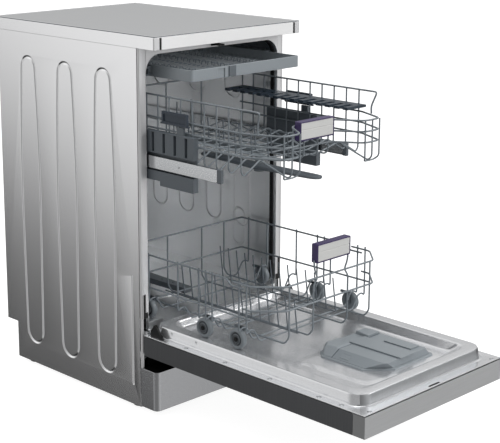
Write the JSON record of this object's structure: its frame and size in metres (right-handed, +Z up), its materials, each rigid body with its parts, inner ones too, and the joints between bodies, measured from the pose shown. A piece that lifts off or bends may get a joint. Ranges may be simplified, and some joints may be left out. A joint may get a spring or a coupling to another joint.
{
  "type": "dishwasher",
  "caption": "Slimline freestanding dishwasher with its door open, top tray and wire racks pulled out, pressed side panels and pale worktop",
  "frame": {"origin": "centre of the bounding box at floor level, with the door down", "axes": "X across the front to the viewer's right, Y from the open door to the back of the cabinet, Z up"},
  "size_m": [0.448, 1.164, 0.85],
  "materials": {
    "worktop_laminate": "speckled laminate with a low sheen",
    "worktop_plastic": "moulded frame, satin",
    "pale_trim": "smooth strip along the front edge",
    "painted_side": "light grey powder coat, pressed loops",
    "painted_dark": "mid grey powder coat with a metallic tone",
    "galvanised": "zinc-coated sheet, dull",
    "stainless": "brushed stainless sheet",
    "zinc_steel": "bright zinc-plated steel",
    "black_plastic": "moulded, matt",
    "grey_plastic": "moulded, satin",
    "light_grey_plastic": "moulded, satin",
    "dark_slate_plastic": "moulded, satin",
    "blue_slate_plastic": "moulded, satin",
    "purple_plastic": "moulded, satin",
    "coated_wire": "steel wire with a smooth nylon coat",
    "seal_rubber": "extruded rubber, matt",
    "white_plastic": "moulded, satin",
    "circuit_board": "lacquered board",
    "screw_steel": "dark plated screw heads"
  },
  "bodies": {
    "cabinet": {"worktop_board": "worktop_laminate", "worktop_frame": "worktop_plastic", "worktop_trim": "pale_trim", "side_panel_left": "painted_side", "side_panel_right": "painted_side", "back_panel": "galvanised", "base_tray": "black_plastic", "plinth": "painted_dark", "levelling_feet": "black_plastic", "tub": "stainless", "door_seal": "seal_rubber", "sump": "grey_plastic", "filter_plate": "stainless", "feed_pipe": "light_grey_plastic", "circulation_pump": "dark_slate_plastic", "drain_pump": "dark_slate_plastic", "water_softener": "white_plastic", "inlet_valve": "white_plastic", "hinge_brackets": "zinc_steel", "hinge_springs": "zinc_steel", "upper_fixed_rails": "stainless", "tray_rails": "grey_plastic", "latch_strike": "black_plastic"},
    "filter": {"filter_cup": "grey_plastic"},
    "salt_closure": {"salt_cap": "blue_slate_plastic"},
    "lower_arm": {"lower_spray_arm": "grey_plastic"},
    "ceiling_arm": {"ceiling_spray_arm": "grey_plastic"},
    "sliding_rails": {"upper_sliding_rails": "zinc_steel", "rail_end_caps": "grey_plastic"},
    "door": {"door_outer_panel": "painted_dark", "door_inner_panel": "stainless", "control_panel": "painted_dark", "control_module": "circuit_board", "door_latch": "black_plastic", "hinge_arms": "zinc_steel", "hinge_covers": "black_plastic", "door_screws": "screw_steel", "dispenser_body": "dark_slate_plastic"},
    "power_key": {"power_button": "pale_trim"},
    "programme_key": {"programme_button": "pale_trim"},
    "start_key": {"start_button": "pale_trim"},
    "detergent_lid": {"dispenser_lid": "grey_plastic"},
    "rinse_cap": {"rinse_aid_cap": "grey_plastic"},
    "top_tray": {"top_tray_frame": "grey_plastic", "top_tray_wires": "coated_wire"},
    "carriages": {"upper_carriages": "grey_plastic"},
    "left_lever": {"height_lever_left": "blue_slate_plastic"},
    "right_lever": {"height_lever_right": "blue_slate_plastic"},
    "upper_rack": {"upper_rack_wires": "coated_wire", "upper_handle": "purple_plastic", "upper_spray_pipe": "grey_plastic"},
    "shelf": {"folding_shelf": "dark_slate_plastic"},
    "upper_arm": {"upper_spray_arm": "grey_plastic"},
    "rear_axle": {"rear_axle_pins": "zinc_steel"},
    "lower_rack": {"lower_rack_wires": "coated_wire", "lower_handle": "purple_plastic"},
    "tine_row": {"folding_tines": "coated_wire"},
    "wheels_front": {"front_wheels": "grey_plastic"},
    "wheels_middle": {"middle_wheels": "grey_plastic"},
    "wheels_rear": {"rear_wheels": "grey_plastic"}
  },
  "joints": [
    {"name": "door_hinge", "type": "hinge", "parent": "cabinet", "child": "door", "pos_m": [0, 0.052, 0.184], "axis": [1, 0, 0], "range_deg": [-18, 0]},
    {"name": "lower_rack_slide", "type": "slide", "parent": "cabinet", "child": "rear_axle", "axis": [0, 1, 0], "range_m": [0, 0.376]},
    {"name": "lower_rack_tilt", "type": "hinge", "parent": "rear_axle", "child": "lower_rack", "pos_m": [0, 0.079, 0.231], "axis": [1, 0, 0], "range_deg": [-17.5, 0]},
    {"name": "front_wheel_spin", "type": "hinge", "parent": "lower_rack", "child": "wheels_front", "pos_m": [0, -0.201, 0.231], "axis": [1, 0, 0], "range_deg": [-1000, 0]},
    {"name": "middle_wheel_spin", "type": "hinge", "parent": "lower_rack", "child": "wheels_middle", "pos_m": [0, -0.101, 0.231], "axis": [1, 0, 0], "range_deg": [-1000, 0]},
    {"name": "rear_wheel_spin", "type": "hinge", "parent": "rear_axle", "child": "wheels_rear", "pos_m": [0, 0.079, 0.231], "axis": [1, 0, 0], "range_deg": [-1000, 0]},
    {"name": "tine_fold", "type": "hinge", "parent": "lower_rack", "child": "tine_row", "pos_m": [0.062, 0, 0.2473], "axis": [0, 1, 0], "range_deg": [-70, 0]},
    {"name": "upper_rack_slide", "type": "slide", "parent": "cabinet", "child": "carriages", "axis": [0, 1, 0], "range_m": [0, 0.376]},
    {"name": "rail_slide", "type": "slide", "parent": "cabinet", "child": "sliding_rails", "axis": [0, 1, 0], "range_m": [0, 0.246]},
    {"name": "rack_height", "type": "slide", "parent": "carriages", "child": "upper_rack", "axis": [0, 0, -1], "range_m": [0, 0.045]},
    {"name": "left_lever_hinge", "type": "hinge", "parent": "carriages", "child": "left_lever", "pos_m": [-0.194, 0, 0.664], "axis": [0, 1, 0], "range_deg": [0, 6], "stiffness_Nm_per_rad": 2},
    {"name": "right_lever_hinge", "type": "hinge", "parent": "carriages", "child": "right_lever", "pos_m": [0.194, 0, 0.664], "axis": [0, -1, 0], "range_deg": [0, 6], "stiffness_Nm_per_rad": 2},
    {"name": "shelf_hinge", "type": "hinge", "parent": "upper_rack", "child": "shelf", "pos_m": [0.1786, 0, 0.686], "axis": [0, 1, 0], "range_deg": [0, 80]},
    {"name": "upper_arm_spin", "type": "hinge", "parent": "upper_rack", "child": "upper_arm", "pos_m": [0, -0.085, 0.5545], "axis": [0, 0, 1], "continuous": true},
    {"name": "lower_arm_spin", "type": "hinge", "parent": "cabinet", "child": "lower_arm", "pos_m": [0, 0.3045, 0.2175], "axis": [0, 0, 1], "continuous": true},
    {"name": "ceiling_arm_spin", "type": "hinge", "parent": "cabinet", "child": "ceiling_arm", "pos_m": [0, 0.3045, 0.7935], "axis": [0, 0, 1], "continuous": true},
    {"name": "tray_slide", "type": "slide", "parent": "cabinet", "child": "top_tray", "axis": [0, 1, 0], "range_m": [0, 0.13]},
    {"name": "filter_twist", "type": "hinge", "parent": "cabinet", "child": "filter", "pos_m": [-0.056, 0.3045, 0.19], "axis": [0, 0, 1], "range_deg": [0, 90]},
    {"name": "salt_cap_twist", "type": "hinge", "parent": "cabinet", "child": "salt_closure", "pos_m": [-0.11, 0.445, 0.196], "axis": [0, 0, 1], "range_deg": [0, 90]},
    {"name": "lid_slide", "type": "slide", "parent": "door", "child": "detergent_lid", "axis": [0, 1, 0], "range_m": [0, 0.045]},
    {"name": "rinse_cap_hinge", "type": "hinge", "parent": "door", "child": "rinse_cap", "pos_m": [0.082, -0.392, 0.2115], "axis": [-1, 0, 0], "range_deg": [0, 90]},
    {"name": "power_press", "type": "slide", "parent": "door", "child": "power_key", "axis": [0, 0, 1], "range_m": [0, 0.0008], "stiffness_N_per_m": 200},
    {"name": "programme_press", "type": "slide", "parent": "door", "child": "programme_key", "axis": [0, 0, 1], "range_m": [0, 0.0008], "stiffness_N_per_m": 200},
    {"name": "start_press", "type": "slide", "parent": "door", "child": "start_key", "axis": [0, 0, 1], "range_m": [0, 0.0008], "stiffness_N_per_m": 200}
  ],
  "couplings": [
    {"joint": "lower_rack_tilt", "follows": "door_hinge", "ratio": 0.94},
    {"joint": "front_wheel_spin", "follows": "lower_rack_slide", "rad_per_m": -46.083},
    {"joint": "middle_wheel_spin", "follows": "lower_rack_slide", "rad_per_m": -46.083},
    {"joint": "rear_wheel_spin", "follows": "lower_rack_slide", "rad_per_m": -46.083},
    {"joint": "rail_slide", "follows": "upper_rack_slide", "ratio": 0.65}
  ]
}
